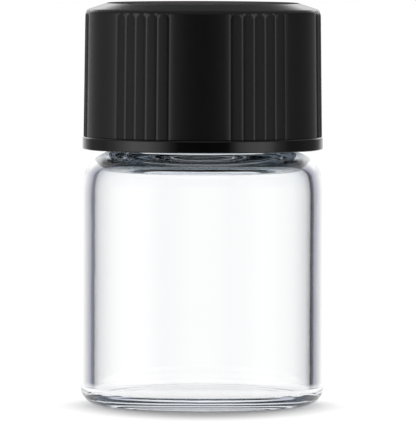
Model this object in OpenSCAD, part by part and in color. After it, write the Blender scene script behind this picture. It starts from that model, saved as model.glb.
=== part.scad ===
// Small glass sample vial with a screw finish, a black moulded cap and a sealing liner.
// Millimetres. Z is up, and the origin is the centre of the ring that the vial stands on.
// The thread is right-handed, so the cap rises by one pitch for each turn counter-clockwise.

/* [Glass body] */
// Outside diameter of the body
body_d = 16; // [14:0.1:20]
// Height of the body's straight side, from the standing ring to the start of the shoulder
body_h = 13.65; // [8:0.05:40]
// Thickness of the body's wall
wall_t = 0.9; // [0.6:0.05:1.2]
// Thickness of the floor at the foot of the wall
floor_t = 0.95; // [0.6:0.05:2]
// Radius of the rounded heel
heel_r = 1.2; // [0.6:0.05:1.8]
// Radius inside, where the wall meets the floor
floor_corner_r = 0.25; // [0.2:0.05:1.2]
// Width of the flat standing ring, inwards from the heel
ring_w = 0.6; // [0.4:0.1:2]
// Height of the hollow in the underside
punt_h = 0.4; // [0.1:0.05:0.5]

/* [Shoulder] */
// Radius of the first, slow curve of the shoulder
shoulder_lead_r = 7.1; // [5:0.1:9]
// Height that the slow curve takes
shoulder_lead_h = 1.4; // [0.8:0.1:2]
// Radius of the turn from the side to the top of the shoulder
shoulder_r = 2; // [1.4:0.1:2.4]
// Radius of the turn inside the shoulder
shoulder_in_r = 1.1; // [0.6:0.1:1.6]
// Thickness of the glass at the top of the shoulder
shoulder_t = 0.85; // [0.7:0.05:1.4]
// Radius of the soft edge where the hollow narrows to the bore
throat_r = 1; // [0.5:0.1:1.4]

/* [Screw finish] */
// Distance in from the body's side to the top of the thread
thread_inset = 1.55; // [1.2:0.05:2]
// Height of the thread's ridge
thread_h = 0.75; // [0.5:0.05:0.9]
// Rise of the thread in one turn
pitch = 2.117; // [1.9:0.01:2.6]
// Turns of thread on the neck
neck_turns = 2; // [1:0.25:2.25]
// Width of the ridge where it meets the neck
ridge_base_w = 1.35; // [1:0.05:1.4]
// Width of the ridge at its top
ridge_top_w = 0.45; // [0.3:0.05:0.6]
// Thickness of the glass between the bore and the root of the thread
neck_wall_t = 1.4; // [1:0.05:2]
// Height of the finish, from the shoulder to the lip
finish_h = 7.45; // [7:0.05:9]
// Distance from the lip to the thread
thread_below_lip = 0.95; // [0.7:0.05:1.2]
// Radius of the curve from the shoulder into the neck
neck_fillet_r = 0.2; // [0.1:0.05:0.6]
// Radius of the lip's outer edge
lip_r = 0.5; // [0.2:0.05:0.6]
// Radius of the lip's inner edge
lip_in_r = 0.35; // [0.1:0.05:0.4]

/* [Liner] */
// Thickness of the sealing liner
liner_t = 1.2; // [0.8:0.1:2]
// Room between the liner's edge and the cap's wall
liner_side_gap = 0.12; // [0.05:0.01:0.3]

/* [Cap] */
// Thickness of the cap's top
cap_top_t = 1.1; // [0.8:0.1:2]
// Room between the shoulder and the underside of the cap
rim_gap = 0.13; // [0.1:0.01:0.6]
// Thickness of the skirt's wall at its foot, under the grip
skirt_t = 1.23; // [1:0.05:1.6]
// Draft of the skirt's side, in degrees
skirt_draft = 0.7; // [0:0.1:1.5]
// Height of the rim that runs round the foot of the skirt
rim_h = 0.84; // [0.5:0.02:1.2]
// Distance that the rim stands out from the skirt
rim_out = 0.13; // [0.05:0.01:0.2]
// Radius of the rim's edges
rim_edge_r = 0.15; // [0.05:0.01:0.2]
// Width of the sloping border of the top
border_w = 1.8; // [1:0.1:2.5]
// Fall of the sloping border of the top
border_h = 0.47; // [0.3:0.01:0.7]
// How far the border curves: 1 is one arc all the way, 0.5 a straight slope
border_curve = 0.68; // [0.55:0.01:0.95]
// Radius of the corner between the border and the skirt
corner_r = 0.3; // [0.1:0.05:0.4]
// Width of the bevel inside the cap's mouth
mouth_bevel = 0.3; // [0.1:0.05:0.5]

/* [Grip] */
// Number of groups of grooves round the skirt
grip_groups = 6; // [3:1:6]
// Number of grooves in each group
grooves_per_group = 6; // [3:1:8]
// Angle from one groove to the next, in degrees
groove_step = 5.9; // [4.5:0.1:6.5]
// Angle that turns the whole grip about the cap's axis, in degrees
grip_turn = -1.5; // [-30:0.5:30]
// Width of a groove at the skin of the skirt
groove_w = 0.34; // [0.2:0.02:0.5]
// Depth of a groove
groove_depth = 0.12; // [0.08:0.02:0.3]
// Plain skirt left above the grooves
groove_end_gap = 0.25; // [0.1:0.05:0.6]

/* [Thread fit] */
// Turns of thread in the cap
cap_turns = 1.75; // [1:0.25:2]
// Radial room between the tops of the ridges and the walls that they face
thread_gap = 0.12; // [0.08:0.01:0.2]
// Axial room between the two ridges on the side that pulls the cap down
flank_gap = 0.1; // [0.06:0.01:0.2]
// Width of the cap's ridge where it meets the cap's wall
cap_ridge_base_w = 1.2; // [0.9:0.05:1.3]
// Width of the cap's ridge at its top
cap_ridge_top_w = 0.35; // [0.25:0.05:0.5]
// Distance from the underside of the cap to the lowest point of its thread
thread_above_mouth = 0.5; // [0.3:0.1:1]

/* [Hidden] */

$fn = 96;
join = 0.01; // depth by which a cutting shape runs past the face that it opens

// Steps of the swept thread in one turn, and the angle over which its ends run out
steps_per_turn = 40;
runout = 40;
// Depth to which a ridge is rooted in the wall that carries it, and the share of its reach,
// measured from that root, that is left at its ends
ridge_root = 0.25;
sunk_share = 0.17;
// Share of a ridge's height at which its flank gives way to the rounded top
flank_share = 0.8;
// Share of the top's width that is flat
flat_share = 0.8;

body_r = body_d / 2;
hollow_r = body_r - wall_t;
thread_r = body_r - thread_inset;
neck_r = thread_r - thread_h;
bore_r = neck_r - neck_wall_t;

// Outer shoulder: a slow arc that leaves the side, then a tighter arc that carries on from it
lead_center = [body_r - shoulder_lead_r, body_h];
lead_angle = asin(shoulder_lead_h / shoulder_lead_r);
turn_center = lead_center
    + (shoulder_lead_r - shoulder_r) * [cos(lead_angle), sin(lead_angle)];
shoulder_z = turn_center[1] + shoulder_r;
lip_z = shoulder_z + finish_h;

// Curve that leads from the shoulder into the neck and touches both
fillet_x = neck_r + neck_fillet_r;
fillet_run = fillet_x - turn_center[0];
fillet_reach = shoulder_r + neck_fillet_r;
fillet_center = [fillet_x, turn_center[1] + sqrt(pow(fillet_reach, 2) - pow(fillet_run, 2))];
fillet_foot = turn_center + (fillet_center - turn_center) * shoulder_r / fillet_reach;

// Hollow of the body: inside the shoulder, a slow arc that keeps the wall's thickness, then the
// tighter turn into the ceiling
ceiling_z = shoulder_z - shoulder_t;
hollow_lead_r = shoulder_lead_r - wall_t;
hollow_reach = hollow_lead_r - shoulder_in_r;
hollow_turn = [hollow_r - hollow_lead_r + hollow_reach * cos(lead_angle),
    ceiling_z - shoulder_in_r];
hollow_lead = [hollow_r - hollow_lead_r, hollow_turn[1] - hollow_reach * sin(lead_angle)];
ring_in_r = body_r - heel_r - ring_w;
punt_r = (pow(ring_in_r, 2) + pow(punt_h, 2)) / (2 * punt_h);

// Cap, stacked on the liner, which lies on the lip
liner_z = lip_z;
cap_ceiling_z = liner_z + liner_t;
cap_top_z = cap_ceiling_z + cap_top_t;
cap_foot_z = shoulder_z + rim_gap;
cap_bore_r = thread_r + thread_gap;
liner_r = cap_bore_r - liner_side_gap;
skirt_foot_r = cap_bore_r + skirt_t;
rim_top_z = cap_foot_z + rim_h;
rim_r = skirt_foot_r + rim_out;
border_z = cap_top_z - border_h;
skirt_top_r = skirt_foot_r - (border_z - rim_top_z) * tan(skirt_draft);

// Sloping border of the top: an arc that starts level at the flat, then a straight slope that
// runs into the corner
flat_r = skirt_top_r - border_w;
border_slope = border_curve * 2 * atan(border_h / border_w);
border_r = (border_w * tan(border_slope) - border_h) * cos(border_slope)
    / (1 - cos(border_slope));
border_center = [flat_r, cap_top_z - border_r];
slope_dir = [sin(border_slope), cos(border_slope)];
slope_start = border_center + border_r * slope_dir;
corner_x = skirt_top_r - corner_r;
corner_center = [corner_x, slope_start[1] - (corner_x - slope_start[0]) * tan(border_slope)
    - corner_r / cos(border_slope)];

// Threads: the middle of the neck's ridge at angle 0 of its last turn, and the cap's below it
neck_thread_top_z = lip_z - thread_below_lip - ridge_base_w / 2;
neck_thread_z = neck_thread_top_z - neck_turns * pitch;
ridge_slope = (ridge_base_w - ridge_top_w) / (2 * thread_h);
ridge_mid_w = ridge_base_w + cap_ridge_base_w - 2 * ridge_slope * (thread_h + thread_gap);
ridge_drop = ridge_mid_w / 2 + flank_gap;
cap_thread_foot_z = cap_foot_z + thread_above_mouth + cap_ridge_base_w / 2;
// The cap's ridge starts at the angle where the helix below the neck's ridge has that height
cap_thread_angle = 360 * (cap_thread_foot_z - (neck_thread_z - ridge_drop)) / pitch;

// Share of a ridge's full reach at a distance along it, in degrees from its first end.
// At its ends the ridge has sunk under the face of the wall.
function rise(along, turns) =
    let (end = turns * 360, near = min(along, end - along))
    near >= runout ? 1 : sunk_share + (1 - sunk_share) * sin(90 * near / runout);

// Section of a ridge, as pairs of height above its wall and place along the axis.
// Its flanks run straight on into the wall.
function ridge_section(h, base_w, top_w, share) =
    let (
        slope = (base_w - top_w) / (2 * h),
        foot_w = base_w + 2 * slope * ridge_root,
        top = (h + ridge_root) * share - ridge_root,
        flank = (h * flank_share + ridge_root) * share - ridge_root,
        flank_w = base_w - 2 * slope * h * flank_share
    )
    [
        [-ridge_root, -foot_w / 2],
        [flank, -flank_w / 2],
        [top, -top_w * flat_share / 2],
        [top, top_w * flat_share / 2],
        [flank, flank_w / 2],
        [-ridge_root, foot_w / 2],
    ];

// Ring of points round one section of the helix; side is 1 for outwards and -1 for inwards
function helix_ring(angle, wall_r, side, z, section) = [
    for (p = section)
        let (r = wall_r + side * p[0])
        [r * cos(angle), r * sin(angle), z + p[1]]
];

// Ridge that climbs round a wall: one section swept along a right-handed helix
module thread_ridge(wall_r, side, h, base_w, top_w, foot_z, foot_angle, turns) {
    steps = ceil(turns * steps_per_turn);
    rings = [
        for (i = [0 : steps])
            let (along = turns * 360 * i / steps)
            helix_ring(foot_angle + along, wall_r, side, foot_z + pitch * along / 360,
                ridge_section(h, base_w, top_w, rise(along, turns)))
    ];
    n = len(rings[0]);
    walls = [
        for (i = [0 : steps - 1], j = [0 : n - 1])
            let (a = i * n + j, b = i * n + (j + 1) % n)
            side > 0 ? [a, b, b + n, a + n] : [a, a + n, b + n, b]
    ];
    first = [for (j = [0 : n - 1]) side > 0 ? n - 1 - j : j];
    last = [for (j = [0 : n - 1]) steps * n + (side > 0 ? j : n - 1 - j)];
    polyhedron(points = [for (ring = rings) each ring], faces = concat([first, last], walls));
}

module body_outline() {
    translate([0, heel_r]) square([body_r, body_h - heel_r]);
    square([body_r - heel_r, body_h]);
    translate([body_r - heel_r, heel_r]) circle(heel_r);
}

module shoulder_outline() {
    square([turn_center[0], shoulder_z]);
    translate(turn_center) circle(shoulder_r);
    intersection() {
        translate(lead_center) circle(shoulder_lead_r);
        translate([0, body_h - join]) square([body_r, shoulder_lead_h + join]);
    }
}

module neck_outline() {
    translate([0, body_h]) square([neck_r, lip_z - lip_r - body_h]);
    translate([0, body_h]) square([neck_r - lip_r, lip_z - body_h]);
    translate([neck_r - lip_r, lip_z - lip_r]) circle(lip_r);
    difference() {
        polygon([[bore_r, turn_center[1]], turn_center, fillet_foot, fillet_center,
            [bore_r, fillet_center[1]]]);
        translate(fillet_center) circle(neck_fillet_r);
    }
}

module hollow_outline() {
    translate([0, floor_t]) {
        square([hollow_r - floor_corner_r, hollow_lead[1] - floor_t]);
        translate([0, floor_corner_r])
            square([hollow_r, hollow_lead[1] - floor_t - floor_corner_r]);
        translate([hollow_r - floor_corner_r, floor_corner_r]) circle(floor_corner_r);
    }
    translate([0, floor_t]) square([hollow_turn[0], ceiling_z - floor_t]);
    translate(hollow_turn) circle(shoulder_in_r);
    intersection() {
        translate(hollow_lead) circle(hollow_lead_r);
        translate([0, hollow_lead[1] - join])
            square([hollow_r, hollow_lead_r * sin(lead_angle) + join]);
    }
}

// Outline of a bore that opens out towards -Z with a rounded edge
module flared_bore_outline(r, edge_r, length) {
    square([r, length]);
    difference() {
        translate([0, -join]) square([r + edge_r, edge_r + join]);
        translate([r + edge_r, edge_r]) circle(edge_r);
    }
}

module bore_outline() {
    translate([0, ceiling_z]) flared_bore_outline(bore_r, throat_r, finish_h + shoulder_t);
    translate([0, lip_z]) mirror([0, 1]) flared_bore_outline(bore_r, lip_in_r, finish_h);
}

module punt_outline() {
    intersection() {
        translate([0, punt_h - punt_r]) circle(punt_r);
        translate([0, -join]) square([ring_in_r, punt_h + 2 * join]);
    }
}

module glass_vial() {
    color("lightcyan", 0.35) {
        rotate_extrude() difference() {
            union() {
                body_outline();
                shoulder_outline();
                neck_outline();
            }
            hollow_outline();
            bore_outline();
            punt_outline();
        }
        thread_ridge(neck_r, 1, thread_h, ridge_base_w, ridge_top_w,
            neck_thread_z, 0, neck_turns);
    }
}

module cap_outline() {
    // Rim
    translate([0, cap_foot_z + rim_edge_r]) square([rim_r, rim_h - 2 * rim_edge_r]);
    translate([0, cap_foot_z]) square([rim_r - rim_edge_r, rim_h]);
    for (z = [cap_foot_z + rim_edge_r, rim_top_z - rim_edge_r])
        translate([rim_r - rim_edge_r, z]) circle(rim_edge_r);
    // Skirt
    polygon([[0, cap_foot_z], [skirt_foot_r, cap_foot_z], [skirt_foot_r, rim_top_z],
        [skirt_top_r, corner_center[1]], [0, corner_center[1]]]);
    // Top, with its sloping border and rounded corner
    square([flat_r, cap_top_z]);
    translate(corner_center) circle(corner_r);
    polygon([[flat_r, corner_center[1]], corner_center, corner_center + corner_r * slope_dir,
        slope_start]);
    intersection() {
        translate(border_center) circle(border_r);
        polygon([border_center, border_center + 2 * border_r * slope_dir,
            border_center + [0, 2 * border_r]]);
    }
}

module cap_hollow_outline() {
    square([cap_bore_r, cap_ceiling_z]);
    polygon([[0, cap_foot_z - join], [cap_bore_r + mouth_bevel + join, cap_foot_z - join],
        [cap_bore_r, cap_foot_z + mouth_bevel], [0, cap_foot_z + mouth_bevel]]);
}

// Vee that leans with the skirt, cut from the rim to just under the corner
module groove() {
    length = corner_center[1] - groove_end_gap - rim_top_z;
    out = 0.5;
    half = groove_w / 2 * (groove_depth + out) / groove_depth;
    translate([skirt_foot_r - groove_depth, 0, rim_top_z])
        rotate([0, -skirt_draft, 0])
        linear_extrude(length)
        polygon([[0, 0], [groove_depth + out, -half], [groove_depth + out, half]]);
}

module grip() {
    first = -(grooves_per_group - 1) / 2;
    for (g = [0 : grip_groups - 1], i = [0 : grooves_per_group - 1])
        rotate(grip_turn + 360 / grip_groups * g + groove_step * (first + i)) groove();
}

module screw_cap() {
    color("#1e1e20") {
        difference() {
            rotate_extrude() difference() {
                cap_outline();
                cap_hollow_outline();
            }
            grip();
        }
        thread_ridge(cap_bore_r, -1, thread_h, cap_ridge_base_w, cap_ridge_top_w,
            cap_thread_foot_z, cap_thread_angle, cap_turns);
    }
}

module cap_liner() {
    color("white") translate([0, 0, liner_z]) cylinder(h = liner_t, r = liner_r);
}

glass_vial();
screw_cap();
cap_liner();
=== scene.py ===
import math

import bpy
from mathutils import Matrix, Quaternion, Vector


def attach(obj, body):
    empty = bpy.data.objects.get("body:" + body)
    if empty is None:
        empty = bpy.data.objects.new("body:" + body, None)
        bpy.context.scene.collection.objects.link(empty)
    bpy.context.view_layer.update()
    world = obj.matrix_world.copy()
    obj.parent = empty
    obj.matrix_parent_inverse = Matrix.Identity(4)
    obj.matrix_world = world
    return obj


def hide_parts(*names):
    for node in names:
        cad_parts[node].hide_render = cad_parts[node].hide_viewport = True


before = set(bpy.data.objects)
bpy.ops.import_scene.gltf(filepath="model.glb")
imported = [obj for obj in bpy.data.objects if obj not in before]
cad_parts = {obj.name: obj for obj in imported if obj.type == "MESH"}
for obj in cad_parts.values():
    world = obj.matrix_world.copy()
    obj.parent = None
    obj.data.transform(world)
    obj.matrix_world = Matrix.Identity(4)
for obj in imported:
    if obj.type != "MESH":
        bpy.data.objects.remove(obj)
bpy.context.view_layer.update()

mm = 0.001
scene = bpy.context.scene


# the camera: a long lens from far off, a little higher than the top of the cap

cameraPlace = {
    "spot": (0.0, -500.0, 35.6),  # millimetres
    "aim": (0.362, 0.0, 12.68),
    "lens": 648.0,
    "roll": 0.17,  # degrees
}


def addCamera(place):
    data = bpy.data.cameras.new("camera")
    data.lens = place["lens"]
    data.sensor_width = 36.0
    camera = bpy.data.objects.new("camera", data)
    scene.collection.objects.link(camera)
    spot = Vector(place["spot"]) * mm
    aim = Vector(place["aim"]) * mm
    camera.location = spot
    roll = Quaternion((0.0, 0.0, 1.0), math.radians(place["roll"]))
    camera.rotation_euler = ((aim - spot).to_track_quat("-Z", "Y") @ roll).to_euler()
    scene.camera = camera


addCamera(cameraPlace)
print("camera placed")


# helpers for node trees

class Flow:  # a number in a node tree, so that a rule reads like a sum
    def __init__(self, tree, socket):
        self.tree = tree
        self.socket = socket

    def apply(self, operation, *others):
        node = self.tree.nodes.new("ShaderNodeMath")
        node.operation = operation
        for slot, value in zip(node.inputs, (self, *others)):
            feed(self.tree, slot, value)
        return Flow(self.tree, node.outputs[0])

    def __add__(self, other):
        return self.apply("ADD", other)

    def __sub__(self, other):
        return self.apply("SUBTRACT", other)

    def __mul__(self, other):
        return self.apply("MULTIPLY", other)

    def __truediv__(self, other):
        return self.apply("DIVIDE", other)

    def least(self, other):
        return self.apply("MINIMUM", other)

    def most(self, other):
        return self.apply("MAXIMUM", other)

    def above(self, other):  # 1 where this is greater, and 0 elsewhere
        return self.apply("GREATER_THAN", other)

    def absolute(self):
        return self.apply("ABSOLUTE")

    def flip(self):  # 1 for 0, and 0 for 1
        return self * -1 + 1

    def toward(self, other, share):  # this at a share of 0, and the other at 1
        return self + (self * -1 + other) * share

    def smooth(self, low, high):  # 0 below low, 1 above high, eased between them
        node = self.tree.nodes.new("ShaderNodeMapRange")
        node.interpolation_type = "SMOOTHSTEP"
        feed(self.tree, node.inputs["Value"], self)
        feed(self.tree, node.inputs["From Min"], low)
        feed(self.tree, node.inputs["From Max"], high)
        return Flow(self.tree, node.outputs["Result"])


def feed(tree, slot, value):
    if isinstance(value, Flow):
        value = value.socket
    if isinstance(value, bpy.types.NodeSocket):
        tree.links.new(value, slot)
    else:
        slot.default_value = value


def addNode(tree, kind, settings=None, **inputs):
    node = tree.nodes.new(kind)
    for name, value in (settings or {}).items():
        setattr(node, name, value)
    for name, value in inputs.items():
        feed(tree, node.inputs[name.replace("_", " ")], value)
    return node


# half sections, in millimetres; each stretch ends with the number of its steps

def arc(centre, radius, start, end, steps):  # angles in degrees
    angles = [math.radians(start + (end - start) * i / steps) for i in range(steps + 1)]
    return [(centre[0] + radius * math.cos(a), centre[1] + radius * math.sin(a)) for a in angles]


def run(start, end, steps):
    width = end[0] - start[0]
    rise = end[1] - start[1]
    shares = [i / steps for i in range(steps + 1)]
    return [(start[0] + width * share, start[1] + rise * share) for share in shares]


def heading(centre, point):
    return math.degrees(math.atan2(point[1] - centre[1], point[0] - centre[0]))


class Profile:  # half section from the axis round to the axis; marks say which rule shapes a row
    def __init__(self):
        self.points = []
        self.marks = []

    def add(self, points, mark=0.0):
        if self.points and math.dist(self.points[-1], points[0]) < 1e-6:
            points = points[1:]  # it starts where the last stretch ends
        self.points += points
        self.marks += [mark] * len(points)

    def build(self, name):
        mesh = bpy.data.meshes.new(name)
        corners = [(r * mm, 0.0, z * mm) for r, z in self.points]
        mesh.from_pydata(corners, [(i, i + 1) for i in range(len(corners) - 1)], [])
        marks = mesh.attributes.new("mark", "FLOAT", "POINT")
        marks.data.foreach_set("value", self.marks)
        outline = bpy.data.objects.new(name + "Outline", mesh)
        scene.collection.objects.link(outline)
        return outline


# pieces turned from a half section, with a rule for what runs round them

def turnedTree(name, sizes, columnRule, shapeRule):
    tree = bpy.data.node_groups.new(name, "GeometryNodeTree")
    tree.is_modifier = True
    tree.interface.new_socket("Outline", in_out="INPUT", socket_type="NodeSocketGeometry")
    tree.interface.new_socket("Piece", in_out="OUTPUT", socket_type="NodeSocketGeometry")
    for label in ("Columns", "Rows"):
        tree.interface.new_socket(label, in_out="INPUT", socket_type="NodeSocketInt")
    for label in sizes:
        tree.interface.new_socket(label, in_out="INPUT", socket_type="NodeSocketFloat")
    tree.interface.new_socket("Finish", in_out="INPUT", socket_type="NodeSocketMaterial")
    given = tree.nodes.new("NodeGroupInput").outputs
    size = {label: Flow(tree, given[label]) for label in ("Columns", "Rows", *sizes)}

    grid = addNode(tree, "GeometryNodeMeshGrid", Size_X=1.0, Size_Y=1.0)
    feed(tree, grid.inputs["Vertices X"], size["Columns"] + 1)
    feed(tree, grid.inputs["Vertices Y"], size["Rows"])
    place = tree.nodes.new("GeometryNodeInputPosition").outputs[0]
    split = addNode(tree, "ShaderNodeSeparateXYZ", Vector=place)
    column = (Flow(tree, split.outputs["X"]) + 0.5) * size["Columns"]
    row = ((Flow(tree, split.outputs["Y"]) + 0.5) * (size["Rows"] - 1)).apply("ROUND")

    # the outline's own points, read row by row
    spot = addNode(tree, "GeometryNodeSampleIndex", {"data_type": "FLOAT_VECTOR"},
                   Geometry=given["Outline"], Value=place, Index=row)
    marked = addNode(tree, "GeometryNodeInputNamedAttribute", {"data_type": "FLOAT"}, Name="mark")
    mark = addNode(tree, "GeometryNodeSampleIndex", {"data_type": "FLOAT"},
                   Geometry=given["Outline"], Value=marked.outputs["Attribute"], Index=row)
    spotParts = addNode(tree, "ShaderNodeSeparateXYZ", Vector=spot.outputs[0])
    radius = Flow(tree, spotParts.outputs["X"])
    height = Flow(tree, spotParts.outputs["Z"])

    turn = columnRule(column, size)  # share of a full turn
    radius, height = shapeRule(radius, height, turn, Flow(tree, mark.outputs[0]), size)
    angle = turn * math.tau
    moved = addNode(tree, "ShaderNodeCombineXYZ", X=radius * angle.apply("COSINE"),
                    Y=radius * angle.apply("SINE"), Z=height)
    bent = addNode(tree, "GeometryNodeSetPosition", Geometry=grid.outputs["Mesh"],
                   Position=moved.outputs[0])
    merged = addNode(tree, "GeometryNodeMergeByDistance", Geometry=bent.outputs[0],
                     Distance=0.001 * mm)
    smooth = addNode(tree, "GeometryNodeSetShadeSmooth", Geometry=merged.outputs[0])
    real = addNode(tree, "GeometryNodeRealizeInstances", Geometry=smooth.outputs[0])
    painted = addNode(tree, "GeometryNodeSetMaterial", Geometry=real.outputs[0],
                      Material=given["Finish"])
    tree.links.new(painted.outputs[0], tree.nodes.new("NodeGroupOutput").inputs["Piece"])
    return tree


def turnPiece(name, profile, columns, sizes, finish, columnRule, shapeRule):
    outline = profile.build(name)
    tree = turnedTree(name + "Lathe", sizes, columnRule, shapeRule)
    modifier = outline.modifiers.new("lathe", "NODES")
    modifier.node_group = tree
    values = dict(sizes, Columns=columns, Rows=len(profile.points), Finish=finish)
    for item in tree.interface.items_tree:
        if item.in_out == "INPUT" and item.name in values:
            modifier[item.identifier] = values[item.name]
    graph = bpy.context.evaluated_depsgraph_get()
    mesh = bpy.data.meshes.new_from_object(outline.evaluated_get(graph))
    mesh.name = name
    outline.modifiers.remove(modifier)
    bpy.data.objects.remove(outline)
    piece = bpy.data.objects.new(name, mesh)
    scene.collection.objects.link(piece)
    print(name, "turned:", len(mesh.polygons), "faces")
    return piece


def evenColumns(column, size):
    return column / size["Columns"]


def helixRise(height, turn, size):
    # 1 on the flat of the ridge and 0 beside it, faded in at one end and out at the other
    phase = (height - size["Thread start"]) / size["Pitch"] - turn + size["Start turn"]
    lap = phase.apply("ROUND")
    apart = ((phase - lap) * size["Pitch"]).absolute()
    along = lap + turn - size["Start turn"]
    fade = along.smooth(0.0, size["Run-out"]) * (size["Turns"] - along).smooth(0.0, size["Run-out"])
    flank = (size["Ridge base"] - size["Ridge top"]) / 2
    return (apart * -1 + size["Ridge base"] / 2).smooth(0.0, flank) * fade


# the glass

vial = {  # millimetres
    "bodyR": 8.0,
    "bodyH": 13.65,  # the straight side ends at this height
    "wall": 0.9,
    "floor": 0.95,
    "heelR": 1.2,
    "floorCornerR": 0.25,
    "ringW": 0.6,  # the flat ring that it stands on
    "puntH": 0.4,  # the hollow inside that ring
    "leadR": 7.1,  # the slow curve between the side and the shoulder
    "leadH": 1.4,
    "shoulderR": 2.0,
    "shoulderT": 0.85,
    "shoulderInR": 1.1,
    "throatR": 1.0,
    "threadR": 6.45,  # over the ridge
    "threadH": 0.75,
    "pitch": 2.117,
    "turns": 2.0,
    "runOut": 0.11,  # share of a turn over which the ridge fades
    "ridgeBase": 1.35,
    "ridgeTop": 0.45,
    "neckWall": 1.4,
    "finishH": 7.45,  # from the shoulder to the lip
    "threadBelowLip": 0.95,
    "filletR": 0.2,
    "lipR": 0.5,
    "lipInR": 0.35,
    "columns": 256,
    "neckStep": 0.06,  # between the rows on the neck
    "ior": 1.5,
    "tint": (0.15, 0.45, 0.83),  # what a long way through the glass leaves
    "tintDensity": 7.0,
    "shadowTint": (0.8, 0.8, 0.82),
    "waveScale": 420.0,
    "waveDepth": 0.02,
    "waveStrength": 0.25,
}


def vialProfile(v):
    neckR = v["threadR"] - v["threadH"]
    boreR = neckR - v["neckWall"]
    hollowR = v["bodyR"] - v["wall"]
    lead = (v["bodyR"] - v["leadR"], v["bodyH"])
    leadAngle = math.degrees(math.asin(v["leadH"] / v["leadR"]))
    reach = v["leadR"] - v["shoulderR"]
    turn = (lead[0] + reach * math.cos(math.radians(leadAngle)),
            lead[1] + reach * math.sin(math.radians(leadAngle)))
    shoulderZ = turn[1] + v["shoulderR"]
    lipZ = shoulderZ + v["finishH"]
    span = v["shoulderR"] + v["filletR"]
    filletX = neckR + v["filletR"]
    fillet = (filletX, turn[1] + math.sqrt(span ** 2 - (filletX - turn[0]) ** 2))
    # inside, a slow curve that keeps the wall's thickness and a tighter turn into the ceiling
    ceilingZ = shoulderZ - v["shoulderT"]
    leadInR = v["leadR"] - v["wall"]
    reachIn = leadInR - v["shoulderInR"]
    turnIn = (hollowR - leadInR + reachIn * math.cos(math.radians(leadAngle)),
              ceilingZ - v["shoulderInR"])
    leadIn = (hollowR - leadInR, turnIn[1] - reachIn * math.sin(math.radians(leadAngle)))
    heelX = v["bodyR"] - v["heelR"]
    ringIn = heelX - v["ringW"]
    puntR = (ringIn ** 2 + v["puntH"] ** 2) / (2 * v["puntH"])
    puntEdge = math.degrees(math.asin(ringIn / puntR))
    neckRows = round((lipZ - v["lipR"] - fillet[1]) / v["neckStep"])
    cornerX = hollowR - v["floorCornerR"]
    cornerZ = v["floor"] + v["floorCornerR"]
    p = Profile()
    p.add(arc((0, v["puntH"] - puntR), puntR, 90, 90 - puntEdge, 14))
    p.add(run((ringIn, 0), (heelX, 0), 3))
    p.add(arc((heelX, v["heelR"]), v["heelR"], -90, 0, 14))
    p.add(run((v["bodyR"], v["heelR"]), (v["bodyR"], v["bodyH"]), 28))
    p.add(arc(lead, v["leadR"], 0, leadAngle, 8))
    p.add(arc(turn, v["shoulderR"], leadAngle, heading(turn, fillet), 20))
    p.add(arc(fillet, v["filletR"], heading(fillet, turn) + 360, 180, 8))
    p.add(run((neckR, fillet[1]), (neckR, lipZ - v["lipR"]), neckRows), mark=1.0)
    p.add(arc((neckR - v["lipR"], lipZ - v["lipR"]), v["lipR"], 0, 90, 9))
    p.add(arc((boreR + v["lipInR"], lipZ - v["lipInR"]), v["lipInR"], 90, 180, 7))
    p.add(run((boreR, lipZ - v["lipInR"]), (boreR, ceilingZ + v["throatR"]), 20))
    p.add(arc((boreR + v["throatR"], ceilingZ + v["throatR"]), v["throatR"], 180, 270, 12))
    p.add(run((boreR + v["throatR"], ceilingZ), (turnIn[0], ceilingZ), 3))
    p.add(arc(turnIn, v["shoulderInR"], 90, leadAngle, 20))
    p.add(arc(leadIn, leadInR, leadAngle, 0, 8))
    p.add(run((hollowR, leadIn[1]), (hollowR, cornerZ), 28))
    p.add(arc((cornerX, cornerZ), v["floorCornerR"], 0, -90, 10))
    p.add(run((cornerX, v["floor"]), (0, v["floor"]), 16))
    threadTop = lipZ - v["threadBelowLip"] - v["ridgeBase"] / 2
    return p, threadTop - v["turns"] * v["pitch"]


def neckThread(radius, height, turn, mark, size):
    return radius + mark * size["Ridge height"] * helixRise(height, turn, size), height


def glassFinish(v):
    material = bpy.data.materials.new("clearGlass")
    material.use_nodes = True
    tree = material.node_tree
    tree.nodes.clear()
    spot = tree.nodes.new("ShaderNodeTexCoord").outputs["Object"]
    waves = addNode(tree, "ShaderNodeTexNoise", Vector=spot, Scale=v["waveScale"], Detail=2.0,
                    Roughness=0.5)
    bump = addNode(tree, "ShaderNodeBump", Strength=v["waveStrength"],
                   Distance=v["waveDepth"] * mm, Height=waves.outputs["Fac"])
    glass = tree.nodes.new("ShaderNodeBsdfPrincipled")
    glass.inputs["Base Color"].default_value = (1.0, 1.0, 1.0, 1.0)
    glass.inputs["Transmission Weight"].default_value = 1.0
    glass.inputs["IOR"].default_value = v["ior"]
    glass.inputs["Roughness"].default_value = 0.0
    feed(tree, glass.inputs["Normal"], bump.outputs["Normal"])
    # its shadow is plain tinted light, without a lens's bright patches
    through = tree.nodes.new("ShaderNodeBsdfTransparent")
    through.inputs["Color"].default_value = (*v["shadowTint"], 1.0)
    path = tree.nodes.new("ShaderNodeLightPath")
    mix = tree.nodes.new("ShaderNodeMixShader")
    tree.links.new(path.outputs["Is Shadow Ray"], mix.inputs[0])
    tree.links.new(glass.outputs[0], mix.inputs[1])
    tree.links.new(through.outputs[0], mix.inputs[2])
    output = tree.nodes.new("ShaderNodeOutputMaterial")
    tree.links.new(mix.outputs[0], output.inputs["Surface"])
    body = tree.nodes.new("ShaderNodeVolumeAbsorption")
    body.inputs["Color"].default_value = (*v["tint"], 1.0)
    body.inputs["Density"].default_value = v["tintDensity"]
    tree.links.new(body.outputs[0], output.inputs["Volume"])
    return material


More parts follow.
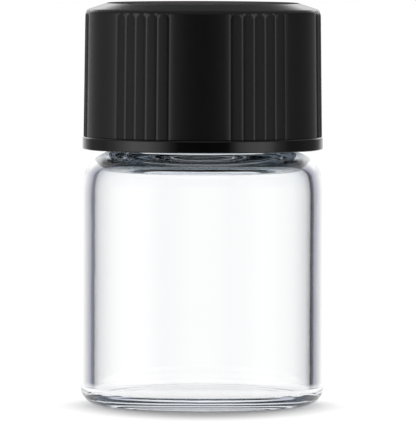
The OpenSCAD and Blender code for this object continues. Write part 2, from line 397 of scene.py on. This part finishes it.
def buildVial(v):
    profile, threadStart = vialProfile(v)
    sizes = {
        "Thread start": threadStart * mm,
        "Pitch": v["pitch"] * mm,
        "Turns": v["turns"],
        "Start turn": 0.0,
        "Run-out": v["runOut"],
        "Ridge base": v["ridgeBase"] * mm,
        "Ridge top": v["ridgeTop"] * mm,
        "Ridge height": v["threadH"] * mm,
    }
    piece = turnPiece("vialGlass", profile, v["columns"], sizes, glassFinish(v), evenColumns,
                      neckThread)
    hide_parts("glass_vial")
    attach(piece, "vial")


buildVial(vial)


# the liner

liner = {  # millimetres
    "r": 6.45,
    "foot": 24.106,
    "thick": 1.2,
    "edgeR": 0.25,
    "lipIn": 4.6,  # the lip presses on the foam between these radii
    "lipOut": 5.25,
    "bulge": 0.03,  # beside the lip the foam hangs lower
    "bulgeW": 0.2,
    "columns": 128,
    "cellScale": 9000.0,
    "cellDepth": 0.03,
    "cellStrength": 0.4,
    "darkest": 0.78,
    "lightest": 0.88,
    "matt": 0.7,
}


def linerFinish(v):
    material = bpy.data.materials.new("whiteFoam")
    material.use_nodes = True
    tree = material.node_tree
    foam = tree.nodes["Principled BSDF"]
    spot = tree.nodes.new("ShaderNodeTexCoord").outputs["Object"]
    cells = addNode(tree, "ShaderNodeTexVoronoi", Vector=spot, Scale=v["cellScale"])
    tone = addNode(tree, "ShaderNodeMapRange", Value=cells.outputs["Distance"])
    tone.inputs["To Min"].default_value = v["darkest"]
    tone.inputs["To Max"].default_value = v["lightest"]
    shade = addNode(tree, "ShaderNodeCombineColor", Red=tone.outputs[0], Green=tone.outputs[0],
                    Blue=tone.outputs[0])
    feed(tree, foam.inputs["Base Color"], shade.outputs[0])
    bump = addNode(tree, "ShaderNodeBump", Strength=v["cellStrength"],
                   Distance=v["cellDepth"] * mm, Height=cells.outputs["Distance"])
    feed(tree, foam.inputs["Normal"], bump.outputs["Normal"])
    foam.inputs["Roughness"].default_value = v["matt"]
    return material


def keepShape(radius, height, turn, mark, size):
    return radius, height


def buildLiner(v):
    low = v["foot"] - v["bulge"]
    top = v["foot"] + v["thick"]
    inX = v["r"] - v["edgeR"]
    bulgeIn = v["lipIn"] - v["bulgeW"]
    bulgeOut = v["lipOut"] + v["bulgeW"]
    p = Profile()
    p.add(run((0, low), (bulgeIn, low), 12))
    p.add(run((bulgeIn, low), (v["lipIn"], v["foot"]), 4))
    p.add(run((v["lipIn"], v["foot"]), (v["lipOut"], v["foot"]), 4))
    p.add(run((v["lipOut"], v["foot"]), (bulgeOut, low), 4))
    p.add(run((bulgeOut, low), (inX, low), 6))
    p.add(arc((inX, low + v["edgeR"]), v["edgeR"], -90, 0, 8))
    p.add(arc((inX, top - v["edgeR"]), v["edgeR"], 0, 90, 8))
    p.add(run((inX, top), (0, top), 14))
    piece = turnPiece("sealDisc", p, v["columns"], {}, linerFinish(v), evenColumns, keepShape)
    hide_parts("cap_liner")
    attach(piece, "liner")


buildLiner(liner)


# the cap

cap = {  # millimetres and degrees
    "boreR": 6.57,
    "skirtFootR": 7.8,
    "foot": 16.786,
    "ceiling": 25.306,
    "top": 26.406,
    "draft": 0.7,
    "rimH": 0.84,
    "rimOut": 0.13,
    "rimEdgeR": 0.15,
    "rimFootR": 0.08,
    "borderW": 1.6,
    "borderH": 0.47,
    "borderCurve": 0.55,  # 1 is one arc all the way, 0.5 a straight slope
    "cornerR": 0.3,
    "mouthBevel": 0.3,
    "groups": 6,
    "grooves": 6,  # in each group, with a low rib between every two
    "grooveStep": 5.9,
    "gripTurn": -1.5,
    "gripLift": 0.03,  # the grip starts this far over the rim
    "grooveW": 0.42,
    "grooveDepth": 0.025,
    "ribHeight": 0.035,
    "archRise": 0.1,  # the ribs' round tops reach this far into the corner
    "closeRows": 1.0,  # and under the corner the rows stand closer for them
    "cellColumns": 12,
    "edgeColumns": 3,
    "panelColumns": 14,
    "ridgeHeight": 0.75,
    "ridgeBase": 1.2,
    "ridgeTop": 0.35,
    "turns": 1.75,
    "pitch": 2.117,
    "runOut": 0.11,  # share of a turn over which the ridge fades
    "threadFoot": 17.886,
    "threadAngle": 83.67,
    "darkest": 0.002,
    "lightest": 0.004,
    "cloudScale": 260.0,
    "grainScale": 2600.0,
    "grainDepth": 0.01,
    "grainStrength": 0.15,
    "grainMatt": 0.12,  # the roughness varies by this much
    "matt": 0.36,
    "flatMatt": 0.5,  # more on the middle of the top
    "ribMatt": 0.3,  # and on the ribs
    "rimShine": 0.75,  # share of the roughness that is missing
    "borderShine": 0.5,
    "wornShine": 0.4,
    "wornAndHighlitLipW": 0.16,  # the grooves' lips are worn shiny, and painted lighter as a painted highlight, this far out
    # how much lighter the grooves' lips are painted: a painted highlight along the ribs' edges
    "paintedHighlightTone": 0.005,
    "skirtIn": 0.4,  # outside the bore by this much, a point is on the skirt's face
    "rimFade": 0.02,
    "glossDrop": (0.22, 0.12),  # the border's gloss comes in at these depths under its foot
    "glossR": 6.25,
    "glossFade": 0.15,
}


def capProfile(v):
    foot = v["foot"]
    boreR = v["boreR"]
    rimR = v["skirtFootR"] + v["rimOut"]
    rimTop = foot + v["rimH"]

    def skirtAt(z):  # the skirt's face at this height
        return v["skirtFootR"] - (z - rimTop) * math.tan(math.radians(v["draft"]))

    skirtTopR = skirtAt(v["top"] - v["borderH"])
    flatR = skirtTopR - v["borderW"]
    slope = v["borderCurve"] * 2 * math.atan(v["borderH"] / v["borderW"])
    bend = v["borderW"] * math.tan(slope) - v["borderH"]
    borderR = bend * math.cos(slope) / (1 - math.cos(slope))
    border = (flatR, v["top"] - borderR)
    upright = 90 - math.degrees(slope)
    slopeStart = arc(border, borderR, upright, 90, 1)[0]
    cornerX = skirtTopR - v["cornerR"]
    corner = (cornerX, slopeStart[1] - (cornerX - slopeStart[0]) * math.tan(slope)
              - v["cornerR"] / math.cos(slope))
    slopeEnd = arc(corner, v["cornerR"], 0, upright, 1)[1]
    gripFoot = (skirtAt(rimTop + v["gripLift"]), rimTop + v["gripLift"])
    closeFrom = (skirtAt(corner[1] - v["closeRows"]), corner[1] - v["closeRows"])
    mouthZ = foot + v["mouthBevel"]
    mouthR = boreR + v["mouthBevel"]
    edge = v["rimEdgeR"]
    footEdge = v["rimFootR"]
    p = Profile()  # marked -1 where the thread runs, and 1 where the grip does
    p.add(run((0, v["ceiling"]), (boreR, v["ceiling"]), 6))
    p.add(run((boreR, v["ceiling"]), (boreR, mouthZ), 76), mark=-1.0)
    p.add(run((boreR, mouthZ), (mouthR, foot), 2))
    p.add(run((mouthR, foot), (rimR - footEdge, foot), 4))
    p.add(arc((rimR - footEdge, foot + footEdge), footEdge, -90, 0, 6))
    p.add(run((rimR, foot + footEdge), (rimR, rimTop - edge), 3))
    p.add(arc((rimR - edge, rimTop - edge), edge, 0, 90, 6))
    p.add(run((v["skirtFootR"], rimTop), gripFoot, 1), mark=1.0)
    p.add(run(gripFoot, closeFrom, 14), mark=1.0)
    p.add(run(closeFrom, (skirtTopR, corner[1]), 24), mark=1.0)
    p.add(arc(corner, v["cornerR"], 0, upright / 2, 7), mark=1.0)
    p.add(arc(corner, v["cornerR"], upright / 2, upright, 5))
    p.add(run(slopeEnd, slopeStart, 6))
    p.add(arc(border, borderR, upright, 90, 12))
    p.add(run((flatR, v["top"]), (0, v["top"]), 14))
    return p, corner[1]


def gripColumns(column, size):
    # columns stand close in the grooves, and wide apart on the plain panels between the groups
    sector = size["Columns"] / size["Groups"]
    lap = (column / sector + 1e-5).apply("FLOOR")  # a hair over, so that a whole lap isn't missed
    within = column - lap * sector
    groupColumns = sector - size["Panel columns"]
    fine = size["Groove step"] / size["Cell columns"]
    span = fine * groupColumns
    wide = (size["Groups"].apply("POWER", -1.0) - span) / size["Panel columns"]
    return (lap / size["Groups"] - span / 2 + within.least(groupColumns) * fine
            + (within - groupColumns).most(0.0) * wide + size["Grip turn"])


def gripField(radius, height, turn, size):
    # how far inside a rib's edge a point lies, below 0 outside; each rib has a round top
    phase = (turn - size["Grip turn"]) * size["Groups"]
    steps = ((phase - phase.apply("ROUND")) / (size["Groove step"] * size["Groups"])).absolute()
    half = size["Grooves"] * 0.5 - 0.5
    cellW = radius * (size["Groove step"] * math.tau)
    nearest = ((steps + half).apply("ROUND") - steps - half).absolute()
    across = (nearest * -1 + 0.5) * cellW
    over = (height + cellW / 2 - size["Arch top"]).most(0.0)
    inner = cellW / 2 - (across * across + over * over).apply("SQRT")
    inside = (steps * -1 + half).above(0.0)
    return inside * inner - inside.flip() * (steps - half) * cellW


def capShape(radius, height, turn, mark, size):
    ridge = helixRise(height, turn, size) * size["Ridge height"] * mark.least(0.0)
    apart = gripField(radius, height, turn, size)
    # each rib is a low round ridge, with a fine groove along its edge
    inward = (apart / (radius * (size["Groove step"] * math.pi))).most(0.0).least(1.0)
    rib = inward * (inward * -1 + 2) * size["Rib height"]
    cut = apart.absolute().smooth(0.0, size["Groove width"] / 2).flip() * size["Groove depth"]
    return radius + ridge + (rib - cut) * mark.most(0.0), height


def capFinish(v, sizes):
    material = bpy.data.materials.new("blackPhenolic")
    material.use_nodes = True
    tree = material.node_tree
    plastic = tree.nodes["Principled BSDF"]
    spot = tree.nodes.new("ShaderNodeTexCoord").outputs["Object"]
    grain = addNode(tree, "ShaderNodeTexNoise", Vector=spot, Scale=v["grainScale"], Detail=4.0,
                    Roughness=0.6)
    cloud = addNode(tree, "ShaderNodeTexNoise", Vector=spot, Scale=v["cloudScale"], Detail=2.0)
    tone = addNode(tree, "ShaderNodeMapRange", Value=cloud.outputs["Fac"])
    tone.inputs["To Min"].default_value = v["darkest"]
    tone.inputs["To Max"].default_value = v["lightest"]
    # the mould left the ribs and the middle of the top matt, and the rim and the border glossy
    split = addNode(tree, "ShaderNodeSeparateXYZ", Vector=spot)
    x = Flow(tree, split.outputs["X"])
    y = Flow(tree, split.outputs["Y"])
    z = Flow(tree, split.outputs["Z"])
    radius = (x * x + y * y).apply("SQRT")
    apart = gripField(radius, z, y.apply("ARCTAN2", x) / math.tau, sizes)
    rimTop = v["foot"] + v["rimH"]
    borderZ = v["top"] - v["borderH"]
    grip = z.above(rimTop * mm) * radius.above((v["boreR"] + v["skirtIn"]) * mm)
    # the grooves' lips: worn glossier, and painted lighter as a painted highlight
    wornLipAndPaintedHighlight = apart.absolute().smooth(0.0, v["wornAndHighlitLipW"] * mm).flip() * grip
    rib = apart.smooth(0.0, v["wornAndHighlitLipW"] * mm) * grip
    rim = (z * -1).smooth(-(rimTop + v["rimFade"]) * mm, -rimTop * mm)
    low, full = v["glossDrop"]
    high = z.smooth((borderZ - low) * mm, (borderZ - full) * mm)
    outer = radius.smooth(v["glossR"] * mm, (v["glossR"] + v["glossFade"]) * mm)
    gloss = (rim * v["rimShine"]).most(high * outer * v["borderShine"])
    flat = high * outer.flip()
    varied = Flow(tree, grain.outputs["Fac"]) * v["grainMatt"] - v["grainMatt"] / 2
    rough = varied + v["matt"] + flat * v["flatMatt"] + rib * v["ribMatt"]
    feed(tree, plastic.inputs["Roughness"], rough * gloss.most(wornLipAndPaintedHighlight * v["wornShine"]).flip())
    # the lips' painted highlight is added to the cap's own cloudy black
    pigment = Flow(tree, tone.outputs[0]) + wornLipAndPaintedHighlight * v["paintedHighlightTone"]
    shade = addNode(tree, "ShaderNodeCombineColor", Red=pigment, Green=pigment, Blue=pigment)
    feed(tree, plastic.inputs["Base Color"], shade.outputs[0])
    bump = addNode(tree, "ShaderNodeBump", Strength=v["grainStrength"],
                   Distance=v["grainDepth"] * mm, Height=grain.outputs["Fac"])
    feed(tree, plastic.inputs["Normal"], bump.outputs["Normal"])
    return material


def buildCap(v):
    profile, cornerZ = capProfile(v)
    sizes = {
        "Groups": float(v["groups"]),
        "Grooves": float(v["grooves"]),
        "Groove step": v["grooveStep"] / 360,
        "Grip turn": v["gripTurn"] / 360,
        "Groove width": v["grooveW"] * mm,
        "Groove depth": v["grooveDepth"] * mm,
        "Rib height": v["ribHeight"] * mm,
        "Arch top": (cornerZ + v["archRise"]) * mm,
        "Cell columns": float(v["cellColumns"]),
        "Panel columns": float(v["panelColumns"]),
        "Thread start": v["threadFoot"] * mm,
        "Pitch": v["pitch"] * mm,
        "Turns": v["turns"],
        "Start turn": v["threadAngle"] / 360,
        "Run-out": v["runOut"],
        "Ridge base": v["ridgeBase"] * mm,
        "Ridge top": v["ridgeTop"] * mm,
        "Ridge height": v["ridgeHeight"] * mm,
    }
    groupColumns = v["cellColumns"] * (v["grooves"] - 1) + 2 * v["edgeColumns"]
    columns = v["groups"] * (groupColumns + v["panelColumns"])
    piece = turnPiece("screwCap", profile, columns, sizes, capFinish(v, sizes), gripColumns,
                      capShape)
    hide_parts("screw_cap")
    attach(piece, "cap")


buildCap(cap)


# the floor

ground = {  # millimetres
    "r": 55.0,
    "sides": 96,
    "drop": 0.02,
    "white": 0.85,
    "matt": 0.9,
    "glow": 0.6,
    "glowIn": 5.0,  # the glow comes in away from the vial; the oval without it is a painted shadow pool, laid over the lamps' own shadow
    "glowOut": 9.8,
    "glowStretch": 1.7,  # the painted shadow pool reaches farther out to the front
    "fadeIn": 12.0,  # from here out, glass and reflections show the studio instead
    "fadeOut": 24.0,
}


def buildFloor(v):
    mesh = bpy.data.meshes.new("floor")
    angles = [math.tau * i / v["sides"] for i in range(v["sides"])]
    ring = [(v["r"] * mm * math.cos(a), v["r"] * mm * math.sin(a), -v["drop"] * mm)
            for a in angles]
    mesh.from_pydata(ring, [], [tuple(range(v["sides"]))])
    floor = bpy.data.objects.new("floor", mesh)
    scene.collection.objects.link(floor)
    material = bpy.data.materials.new("paleFloor")
    material.use_nodes = True
    tree = material.node_tree
    paint = tree.nodes["Principled BSDF"]
    paint.inputs["Base Color"].default_value = (v["white"], v["white"], v["white"], 1.0)
    paint.inputs["Roughness"].default_value = v["matt"]
    paint.inputs["Specular IOR Level"].default_value = 0.0
    paint.inputs["Emission Color"].default_value = (1.0, 1.0, 1.0, 1.0)
    path = tree.nodes.new("ShaderNodeLightPath")
    clear = Flow(tree, path.outputs["Is Transmission Ray"])
    bounced = Flow(tree, path.outputs["Is Glossy Ray"]).most(clear)
    seen = Flow(tree, path.outputs["Is Camera Ray"]).most(bounced)
    # the share of the way out to where the floor gives way to the studio
    spot = tree.nodes.new("ShaderNodeTexCoord").outputs["Object"]
    reach = addNode(tree, "ShaderNodeVectorMath", {"operation": "LENGTH"})
    tree.links.new(spot, reach.inputs[0])
    far = Flow(tree, reach.outputs["Value"]).smooth(v["fadeIn"] * mm, v["fadeOut"] * mm)
    # the glow is left out of an oval round the vial, longer to the front: a painted shadow pool
    split = addNode(tree, "ShaderNodeSeparateXYZ", Vector=spot)
    side = Flow(tree, split.outputs["X"])
    depth = Flow(tree, split.outputs["Y"])
    depth = depth.most(0.0) + depth.least(0.0) / v["glowStretch"]
    oval = (side * side + depth * depth).apply("SQRT")
    away = oval.smooth(v["glowIn"] * mm, v["glowOut"] * mm)
    feed(tree, paint.inputs["Emission Strength"], (seen * away).most(clear) * v["glow"])
    mix = tree.nodes.new("ShaderNodeMixShader")
    feed(tree, mix.inputs[0], far * bounced)
    tree.links.new(paint.outputs[0], mix.inputs[1])
    tree.links.new(tree.nodes.new("ShaderNodeBsdfTransparent").outputs[0], mix.inputs[2])
    tree.links.new(mix.outputs[0], tree.nodes["Material Output"].inputs["Surface"])
    mesh.materials.append(material)
    print("floor laid")


buildFloor(ground)


# the light

light = {
    "bounces": 32,  # thick glass turns light round inside itself many times
    "ambient": 0.3,  # the even light on what isn't glossy
    "lamps": {  # place in millimetres, side of the square lamp, watts
        "left": ((-420.0, -160.0, 260.0), 260.0, 0.35),
        "right": ((420.0, -160.0, 260.0), 260.0, 0.35),
        "top": ((0.0, 120.0, 480.0), 300.0, 0.5),
    },
    "lampAim": 13.0,
    # brightness round the horizon, from the back by the left, the front and the right to the back
    "reflected": ((0.0, 1.7), (0.02, 1.7), (0.035, 1.2), (0.055, 1.1), (0.075, 0.9), (0.10, 0.45),
                  (0.13, 0.2), (0.20, 0.25), (0.235, 0.5), (0.265, 0.9), (0.305, 1.6), (0.35, 1.5),
                  (0.38, 1.0), (0.415, 0.3), (0.435, 0.05), (0.5, 0.02), (0.565, 0.05), (0.58, 0.3),
                  (0.60, 0.9), (0.625, 1.25), (0.665, 1.45), (0.69, 1.1), (0.71, 0.5), (0.75, 0.15),
                  (0.775, 0.12), (0.87, 0.15), (0.90, 0.3), (0.94, 1.0), (0.965, 1.2), (0.98, 1.7),
                  (1.0, 1.7)),
    # a pair that ends in Turn, Height or Side says where a thing starts and where it is full:
    # a turn is the share of the half circle from the front, and the others go up to 1
    "backdrop": 1.8,  # brightness over and under the horizon at the back
    "backdropTurn": (0.78, 0.88),
    "backdropOverHeight": (0.16, 0.24),
    "backdropUnderHeight": (0.1, 0.14),
    "gap": 1.1,  # and just over the horizon, straight behind
    "gapTurn": (0.92, 0.96),
    "gapHeight": (0.0, 0.03),
    "far": (0.3, 0.15),  # brightness far from the horizon, at the sides and at the back
    "farTurn": (0.85, 0.9),
    "farStart": 0.25,  # it starts at this height
    "farFull": (0.5, 0.405),  # and is full at these, at the sides and at the back
    # brightness behind glass, from the back, a side or the front to the corner between two of them
    "through": ((0.0, 1.06), (0.05, 1.07), (0.09, 1.03), (0.24, 1.04), (0.30, 0.99), (0.40, 0.86),
                (0.50, 0.75), (0.60, 0.63), (0.68, 0.49), (0.78, 0.40), (0.84, 0.14), (0.90, 0.05),
                (1.0, 0.02)),
    "leftLift": 0.13,  # the left is a little lighter
    "leftSide": (0.0, 0.2),
    "longBounces": (4.0, 8.0),  # light that turned round this often inside the glass
    "softened": 0.85,  # is drawn towards this brightness
    "softening": 0.8,
    "below": 0.45,  # and keeps this share of it where it goes down
    "belowHeight": (0.1, 0.2),
    "belowTint": (0.35, 0.68, 0.9),
    "shade": (0.9, 0.92, 1.12),  # tint of the darkest glass
    "shadeTones": (0.4, 0.85),
}


def ramp(tree, value, stops):
    node = addNode(tree, "ShaderNodeValToRGB", Fac=value)
    elements = node.color_ramp.elements
    elements[0].position = stops[0][0]
    elements[1].position = stops[-1][0]
    for place, _ in stops[1:-1]:
        elements.new(place)
    for element, (_, tone) in zip(elements, stops):
        element.color = (tone, tone, tone, 1.0)
    return Flow(tree, node.outputs["Color"])


def mixColours(tree, share, first, second):
    node = addNode(tree, "ShaderNodeMix", {"data_type": "RGBA"})
    for slot, value in zip((0, 6, 7), (share, first, second)):  # the sockets meant for colours
        feed(tree, node.inputs[slot], value)
    return node


def reflectedTone(tree, v, around, z):
    turned = around.absolute()
    level = ramp(tree, (around + 1) / 2, v["reflected"])
    level = level.toward(v["gap"], turned.smooth(*v["gapTurn"]) * z.smooth(*v["gapHeight"]))
    over = z.smooth(*v["backdropOverHeight"])
    under = (z * -1).smooth(*v["backdropUnderHeight"])
    level = level.toward(v["backdrop"], turned.smooth(*v["backdropTurn"]) * over.most(under))
    back = turned.smooth(*v["farTurn"])
    sides, behind = v["far"]
    sidesFull, behindFull = v["farFull"]
    far = z.absolute().smooth(v["farStart"], back * (behindFull - sidesFull) + sidesFull)
    return level.toward(back * (behind - sides) + sides, far)


def throughTone(tree, v, around, x, low, longWay):
    eighth = (around * 2 - (around * 2).apply("ROUND")).absolute() * 2
    level = ramp(tree, eighth, v["through"])
    level = level.toward(v["softened"], longWay * v["softening"])
    level = level.toward(1.0, (x * -1).smooth(*v["leftSide"]) * v["leftLift"])
    return level.toward(1.0, low) * (longWay * low * (v["below"] - 1) + 1)


def addWorld(v):
    world = bpy.data.worlds.new("studio")
    scene.world = world
    world.use_nodes = True
    world.cycles.sampling_method = "NONE"
    tree = world.node_tree
    tree.nodes.clear()
    toward = tree.nodes.new("ShaderNodeTexCoord").outputs["Generated"]
    split = addNode(tree, "ShaderNodeSeparateXYZ", Vector=toward)
    x = Flow(tree, split.outputs["X"])
    y = Flow(tree, split.outputs["Y"])
    z = Flow(tree, split.outputs["Z"])
    around = x.apply("ARCTAN2", y * -1) / math.pi  # 0 at the front, 1 or -1 at the back
    path = tree.nodes.new("ShaderNodeLightPath")
    longWay = Flow(tree, path.outputs["Ray Depth"]).smooth(*v["longBounces"])
    low = (z * -1).smooth(*v["belowHeight"])
    reflected = reflectedTone(tree, v, around, z)
    through = throughTone(tree, v, around, x, low, longWay)

    # the camera sees plain white, glass and gloss see the studio, and the rest gets even light
    camera = Flow(tree, path.outputs["Is Camera Ray"])
    clear = Flow(tree, path.outputs["Is Transmission Ray"])
    glossy = Flow(tree, path.outputs["Is Glossy Ray"]) * clear.flip()  # refraction counts as both
    rest = (camera + glossy + clear).flip()
    strength = camera + glossy * reflected + clear * through + rest * v["ambient"]
    plain = clear.flip().most(through.smooth(*v["shadeTones"])).most(longWay)
    tint = mixColours(tree, plain, (*v["shade"], 1.0), (1.0, 1.0, 1.0, 1.0))
    deep = mixColours(tree, clear * longWay * low, tint.outputs[2], (*v["belowTint"], 1.0))
    sky = addNode(tree, "ShaderNodeBackground", Color=deep.outputs[2], Strength=strength)
    tree.links.new(sky.outputs[0], tree.nodes.new("ShaderNodeOutputWorld").inputs["Surface"])


def addLamps(v):
    aim = Vector((0, 0, v["lampAim"] * mm))
    for name, (spot, side, watts) in v["lamps"].items():
        data = bpy.data.lights.new(name, "AREA")
        data.size = side * mm
        data.energy = watts
        lamp = bpy.data.objects.new(name, data)
        scene.collection.objects.link(lamp)
        lamp.location = Vector(spot) * mm
        lamp.rotation_euler = (aim - lamp.location).to_track_quat("-Z", "Y").to_euler()
        lamp.visible_glossy = False
        lamp.visible_transmission = False


addWorld(light)
addLamps(light)
scene.view_settings.view_transform = "Standard"
scene.cycles.max_bounces = light["bounces"]
scene.cycles.glossy_bounces = light["bounces"]
scene.cycles.transmission_bounces = light["bounces"]
print("lit")
